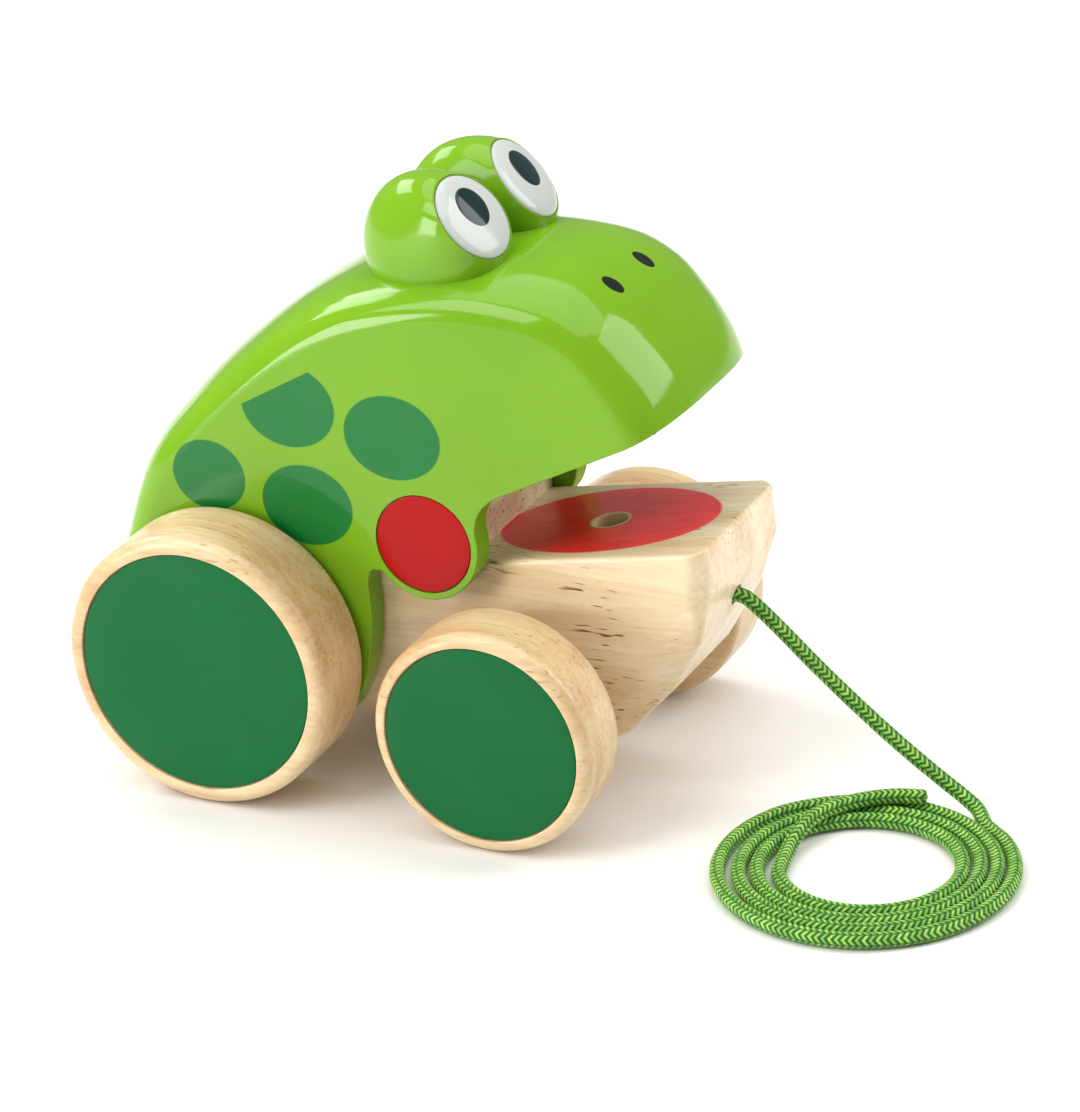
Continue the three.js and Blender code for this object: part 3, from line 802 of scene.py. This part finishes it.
def makeHead(material):
    print("head")
    s = headSet
    columns, rows = s["columns"], s["rows"]
    deselect()
    bpy.ops.mesh.primitive_grid_add(x_subdivisions=rows, y_subdivisions=columns, size=0.1)
    head = started("head_crown")
    reach = 1 - s["crease"] * 1.2 / s["halfWidth"]      # the last column leaves room for the round edge
    shares = [math.sin((j / (columns - 2) - 0.5) * math.pi) * reach for j in range(columns - 1)]
    shares = [-1.0] + shares + [1.0]
    slices = {share: crownSlice(share) for share in shares}
    for vertex in head.data.vertices:
        i = round((vertex.co.x / 0.1 + 0.5) * rows)
        j = round((vertex.co.y / 0.1 + 0.5) * columns)
        spot = slices[shares[j]][i]
        vertex.co = (spot.x, shares[j] * s["halfWidth"], spot.z)
    outline = cheekOutline()
    for side in (1, -1):
        wide = side * s["halfWidth"]
        border = [v for v in head.data.vertices if abs(v.co.y - wide) < 1e-6]
        nose = max(border, key=lambda v: v.co.x).co.copy()
        choose(head, "VERT", lambda v: abs(v.co.y - wide) < 1e-6 and (v.co - nose).length < 1e-6)
        spot = nose
        for goal in outline:
            goal = Vector((goal.x, wide, goal.z))
            bpy.ops.mesh.extrude_region_move(TRANSFORM_OT_translate={"value": goal - spot})
            spot = goal
        choose(head, "EDGE", lambda edge: all(abs(p.y - wide) < 1e-6 for p in edgeEnds(head, edge)))
        bpy.ops.mesh.edge_face_add()
    outward(head)
    panels = {loop for face in head.data.polygons if abs(face.normal.y) > 0.99 for loop in face.edge_keys}
    crownEdges = {key for face in head.data.polygons if abs(face.normal.y) < 0.99 for key in face.edge_keys}
    choose(head, "EDGE", lambda edge: edge.key in panels and edge.key in crownEdges)
    bpy.ops.mesh.bevel(offset=s["crease"], segments=8, profile=0.5, clamp_overlap=False)
    modify(head, "SOLIDIFY", thickness=s["wall"], offset=-1, use_even_offset=True)
    plain = head.copy()
    plain.data = head.data.copy()
    bpy.context.scene.collection.objects.link(plain)
    modify(head, "BEVEL", width=s["rim"], segments=3, limit_method="ANGLE", angle_limit=math.radians(50),
           use_clamp_overlap=False, loop_slide=False)
    for vertex in head.data.vertices:      # back to the skin where the round rim overshoots a corner
        near = plain.closest_point_on_mesh(vertex.co)[1]
        if (vertex.co - near).length > s["overshoot"]:
            vertex.co = near
    bpy.data.objects.remove(plain)
    for hand in ("left", "right"):
        low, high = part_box(f"cheek_disc_{hand}")
        radius = (high.z - low.z) / 2 + 0.3 * mm
        outer = high.y if hand == "left" else low.y
        inner = low.y - 0.2 * mm if hand == "left" else high.y + 0.2 * mm
        cutWith(head, bar("cheekRecess", radius, inner, outer * 1.1, pivot.x, pivot.z, 96))
    smooth(head, 40)
    finishPiece(head, "head", "head_green", material, "head_shell")
    return head


wheelSet = {
    "sides": 128, "faceInset": {"rear": 5 * mm, "front": 3.9 * mm}, "faceDepth": 1.5 * mm,
    "rimRound": 3.4 * mm, "innerRound": 1.7 * mm,
    "boreRadius": 3.3 * mm, "boreDepth": 16 * mm,
    "recessRound": 0.35 * mm, "ringEdge": 0.6 * mm,
}


def makeWheel(axle, material):
    s = wheelSet
    low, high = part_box(f"{axle}_wheel_left")
    radius, x, z = (high.z - low.z) / 2, (low.x + high.x) / 2, (low.z + high.z) / 2
    wheel = bar(f"{axle}_wheel_wood_left", radius, low.y, high.y, x, z, s["sides"])

    def ring(edge, y, r):
        return all(abs(p.y - y) < 1e-5 and abs(math.hypot(p.x - x, p.z - z) - r) < 2e-5
                   for p in edgeEnds(wheel, edge))

    choose(wheel, "FACE", lambda face: face.normal.y > 0.9)
    bpy.ops.mesh.inset(thickness=s["faceInset"][axle], use_even_offset=True)
    bpy.ops.mesh.extrude_region_move(TRANSFORM_OT_translate={"value": (0, -s["faceDepth"], 0)})
    choose(wheel, "FACE", lambda face: face.normal.y < -0.9)
    bpy.ops.mesh.inset(thickness=radius - s["boreRadius"], use_even_offset=True)
    bpy.ops.mesh.extrude_region_move(TRANSFORM_OT_translate={"value": (0, s["boreDepth"], 0)})
    choose(wheel, "EDGE", lambda edge: ring(edge, high.y, radius))
    bpy.ops.mesh.bevel(offset=s["rimRound"], segments=6, profile=0.5)
    choose(wheel, "EDGE", lambda edge: ring(edge, low.y, radius))
    bpy.ops.mesh.bevel(offset=s["innerRound"], segments=4, profile=0.5)
    choose(wheel, "EDGE", lambda edge: ring(edge, high.y, radius - s["faceInset"][axle]))
    bpy.ops.mesh.bevel(offset=s["recessRound"], segments=2, profile=0.5)
    smooth(wheel, 40)
    body = f"{axle}_wheels"
    other = turnedCopy(wheel, f"{axle}_wheel_wood_right", x, z)
    finishPiece(wheel, body, "wheel_wood", material, f"{axle}_wheel_left")
    finishPiece(other, body, "wheel_wood", material, f"{axle}_wheel_right")


def turnedCopy(piece, name, x, z):  # the same piece for the frog's right side
    other = piece.copy()
    other.data = piece.data.copy()
    other.name = name
    bpy.context.scene.collection.objects.link(other)
    pick(other)
    bpy.ops.transform.rotate(value=math.pi, orient_axis="Z", center_override=(x, 0, z))
    bpy.ops.object.transform_apply(location=True, rotation=True, scale=True)
    return other


def makeDisc(node, name, edge, sink, material, body, slot, side, grow=0.0):
    low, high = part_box(node)
    x, z, radius = (low.x + high.x) / 2, (low.z + high.z) / 2, (high.z - low.z) / 2 + grow
    disc = bar(name, radius, low.y, high.y, x, z, 96)
    face = high.y if side > 0 else low.y
    choose(disc, "EDGE", lambda e: all(abs(p.y - face) < 1e-5 for p in edgeEnds(disc, e)))
    bpy.ops.mesh.bevel(offset=edge, segments=3, profile=0.5)
    choose(disc, "FACE", lambda f: f.normal.y * side > 0.99)
    for step in (0.04, 0.05, 0.06, 0.08, 0.12, 0.2, 0.25):
        bpy.ops.mesh.inset(thickness=radius * step)
    deselect()
    for vertex in disc.data.vertices:            # the paint rounds off towards its edge
        share = math.hypot(vertex.co.x - x, vertex.co.z - z) / radius
        if (vertex.co.y - (low.y + high.y) / 2) * side > 0:
            vertex.co.y -= side * sink * share ** 7
    smooth(disc, 40)
    finishPiece(disc, body, slot, material, node)


def makeSpacer(node, name, material, body):
    low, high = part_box(node)
    x, z, radius = (low.x + high.x) / 2, (low.z + high.z) / 2, (high.z - low.z) / 2
    spacer = bar(name, radius, low.y, high.y, x, z, 64)
    choose(spacer, "FACE", lambda face: abs(face.normal.y) > 0.9)
    bpy.ops.mesh.inset(thickness=radius - wheelSet["boreRadius"], use_individual=True)
    bpy.ops.mesh.bridge_edge_loops()
    choose(spacer, "EDGE", lambda e: all(
        abs(math.hypot(p.x - x, p.z - z) - radius) < 2e-5 for p in edgeEnds(spacer, e))
        and abs(edgeEnds(spacer, e)[0].y - edgeEnds(spacer, e)[1].y) < 1e-6)
    bpy.ops.mesh.bevel(offset=wheelSet["ringEdge"], segments=3, profile=0.5)
    outward(spacer)
    smooth(spacer, 40)
    finishPiece(spacer, body, "wheel_wood", material, node)


# Millimetres along the gaze, and half sizes, from each pod's middle.
eyeSet = {
    "x": -1.7, "y": 14.6, "z": 158, "up": 0.69, "out": 0.14,
    "radius": 22, "halfWidth": 14.2, "whiteFront": 16.5, "white": (12.5, 12.8), "rim": 0.7,
    "whiteBulge": 2.4, "pupil": (5.6, 6.5), "pupilRise": 1.7,
    "rimStart": 0.86,            # share of the pod, back to front, where the rim begins
}


def gazePlace(side):
    s = eyeSet
    middle = Vector((pivot.x + s["x"] * mm, side * s["y"] * mm, s["z"] * mm))
    turn = Matrix.Rotation(side * s["out"], 4, "Z") @ Matrix.Rotation(-s["up"], 4, "Y")
    return Matrix.Translation(middle) @ turn


def shapeOval(name, side, reshape, segments=64, rings=40, rise=0.0):
    deselect()
    bpy.ops.mesh.primitive_uv_sphere_add(
        segments=segments, ring_count=rings, radius=1, rotation=(0, math.pi / 2, 0))
    piece = started(name)
    for vertex in piece.data.vertices:
        depth, size = reshape(max(-1.0, min(1.0, vertex.co.x)))
        aside = Vector((vertex.co.y, vertex.co.z))
        if aside.length > 1e-6:
            aside.normalize()
        vertex.co = Vector((depth, aside.x * size[0], rise + aside.y * size[1])) * mm
    piece.data.transform(gazePlace(side))
    return piece


def podShape(along):  # round behind, narrowing to a rolled rim round the white
    s = eyeSet
    wide, high = s["white"]
    rim = math.acos((high + s["rim"]) / s["radius"])
    frontDepth = s["whiteFront"] / math.sin(rim)
    widen = wide + s["rim"] - s["halfWidth"] * math.cos(rim)
    angle = math.asin(along)
    share = (angle + math.pi / 2) / math.pi
    if share < s["rimStart"]:
        a = -math.pi / 2 + (rim + math.pi / 2) * share / s["rimStart"]
        size = math.cos(a)
        forward = max(math.sin(a), 0) / math.sin(rim)
        depth = math.sin(a) * (frontDepth if a > 0 else s["radius"])
        return depth, (s["halfWidth"] * size + widen * forward ** 2, s["radius"] * size)
    turn = (share - s["rimStart"]) / (1 - s["rimStart"])   # over the rim and down into the socket
    inward = 0.45 * turn if turn < 0.6 else 0.27 + (turn - 0.6) / 0.4 * 12
    sink = 0.35 * math.sin(min(turn / 0.6, 1) * math.pi) - (1.2 if turn > 0.6 else 0)
    return s["whiteFront"] + sink, (max(wide + s["rim"] - inward, 0), max(high + s["rim"] - inward, 0))


def domeShape(halfWidth, halfHeight, back, base, bulge):  # a cap in front, a straight stem behind it
    def shape(along):
        size = math.sqrt(max(0, 1 - along * along))
        if along < 0:
            stem = size if along < -0.5 else 1
            return base + back * -along, (halfWidth * stem, halfHeight * stem)
        return base + bulge * along, (halfWidth * size, halfHeight * size)
    return shape


def makeEyes(headMaterial):
    print("eyes")
    s = eyeSet
    white = makeEnamel("eyeWhite", (0.55, 0.58, 0.56, 1), 0.1, 0.02, 0.08, 0.4)
    black = makeEnamel("eyeBlack", (0.008, 0.028, 0.03, 1), 0.06, 0.02, 0.2, 0.35)
    for hand, side in (("left", 1), ("right", -1)):
        pod = shapeOval(f"eye_bulb_{hand}", side, podShape)
        pick(pod)
        bpy.ops.object.shade_smooth()
        finishPiece(pod, "head", "head_green", headMaterial, f"eye_pod_{hand}")
        wide, high = s["white"]
        dome = domeShape(wide, high, -1.6, s["whiteFront"] + 0.1, s["whiteBulge"])
        cap = shapeOval(f"eye_cap_{hand}", side, dome)
        pick(cap)
        bpy.ops.object.shade_smooth()
        finishPiece(cap, "head", "eye_white", white, f"eye_white_{hand}")
        wide, high = s["pupil"]
        base = s["whiteFront"] + s["whiteBulge"] * 0.84
        dome = domeShape(wide, high, -1.2, base, 0.75)
        button = shapeOval(f"eye_button_{hand}", side, dome, rise=s["pupilRise"])
        pick(button)
        bpy.ops.object.shade_smooth()
        finishPiece(button, "head", "eye_black", black, f"pupil_{hand}")


lightSet = {
    "world": 0.3,
    "panels": {   # place, size, power and colour of each soft box
        "keyPanel": ((-0.9, -1.3, 1.8), (1.3, 1.3), 27, (1, 0.99, 0.96)),
        "topPanel": ((0.1, 0.3, 2.0), (2.4, 2.0), 30, (1, 1, 1)),
        "nosePanel": ((1.25, 0.75, 0.95), (0.86, 1.1), 13.5, (1, 0.99, 0.97)),
        "leftPanel": ((-0.85, -1.05, 0.3), (0.42, 0.6), 8, (1, 1, 0.98)),
        "tailPanel": ((-1.3, 0.35, 1.15), (0.9, 0.5), 9, (1, 1, 1)),
    },
}


def makeStage():
    deselect()
    bpy.ops.mesh.primitive_plane_add(size=8, location=(0, 0, -0.0002))
    floor = started("floor")
    material, tree, shader, place = newMaterial("paleFloor")
    soft = noise(tree, place, 3.0, 2.0)
    colour = blendColours(tree, soft, (0.90, 0.895, 0.885, 1), (0.93, 0.925, 0.92, 1))
    giveSurface(tree, shader, colour, remap(tree, soft, 0.3, 0.7, 0.45, 0.55), soft, 0.02, 0.001)
    floor.data.materials.append(material)
    world = bpy.data.worlds.new("studio")
    world.use_nodes = True
    world.node_tree.nodes["Background"].inputs["Color"].default_value = (1.0, 0.99, 0.97, 1)
    world.node_tree.nodes["Background"].inputs["Strength"].default_value = lightSet["world"]
    bpy.context.scene.world = world
    for name, (place, size, energy, tint) in lightSet["panels"].items():
        bpy.ops.object.light_add(type="AREA", location=place)
        lamp = bpy.context.active_object
        lamp.name = name
        lamp.data.shape = "RECTANGLE"
        lamp.data.size, lamp.data.size_y = size
        lamp.data.energy = energy
        lamp.data.color = tint
        aim = Vector((0.02, 0, 0.07)) - Vector(place)
        lamp.rotation_euler = aim.to_track_quat("-Z", "Y").to_euler()


def makeAll():
    makeCamera()
    makeCord()
    wheelWood = makeWheelWood()
    jawWood = makeJawWood()
    headPaintMaterial = makeHeadPaint()
    faceGreen = makeEnamel("faceGreen", (0.002, 0.135, 0.034, 1), 0.2, 0.25, 0.45, 0.17)
    cheekRed = makeEnamel("cheekRed", (0.42, 0.003, 0.004, 1), 0.16, 0.15, 0.3, 0.17)
    steel = makeSteel()
    nylon = makeNylon()
    makeJaw(jawWood)
    makeHead(headPaintMaterial)
    makeEyes(headPaintMaterial)
    print("wheels")
    for axle in ("rear", "front"):
        makeWheel(axle, wheelWood)
        for hand, side in (("left", 1), ("right", -1)):
            makeDisc(f"{axle}_wheel_face_{hand}", f"{axle}_disc_{hand}", 0.25 * mm, 0.6 * mm, faceGreen,
                     f"{axle}_wheels", "face_green", side, 1.1 * mm if axle == "front" else 0.0)
            makeSpacer(f"{axle}_spacer_{hand}", f"{axle}_ring_{hand}", wheelWood, f"{axle}_wheels")
    for hand, side in (("left", 1), ("right", -1)):
        makeDisc(f"cheek_disc_{hand}", f"cheek_{hand}", 0.25 * mm, 0.15 * mm, cheekRed, "head", "cheek_red", side)
    carried = {steel: ["hinge_rod", "rear_axle", "front_axle"], wheelWood: ["mouth_cam"], jawWood: ["lift_block"],
               nylon: [f"{a}_bush_{h}" for a in ("rear", "front") for h in ("left", "right")]}
    for material, names in carried.items():
        for name in names:
            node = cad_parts[name]
            node.data.materials.clear()
            node.data.materials.append(material)
    print("stage")
    makeStage()
    bpy.context.scene.view_settings.view_transform = "Standard"


makeAll()
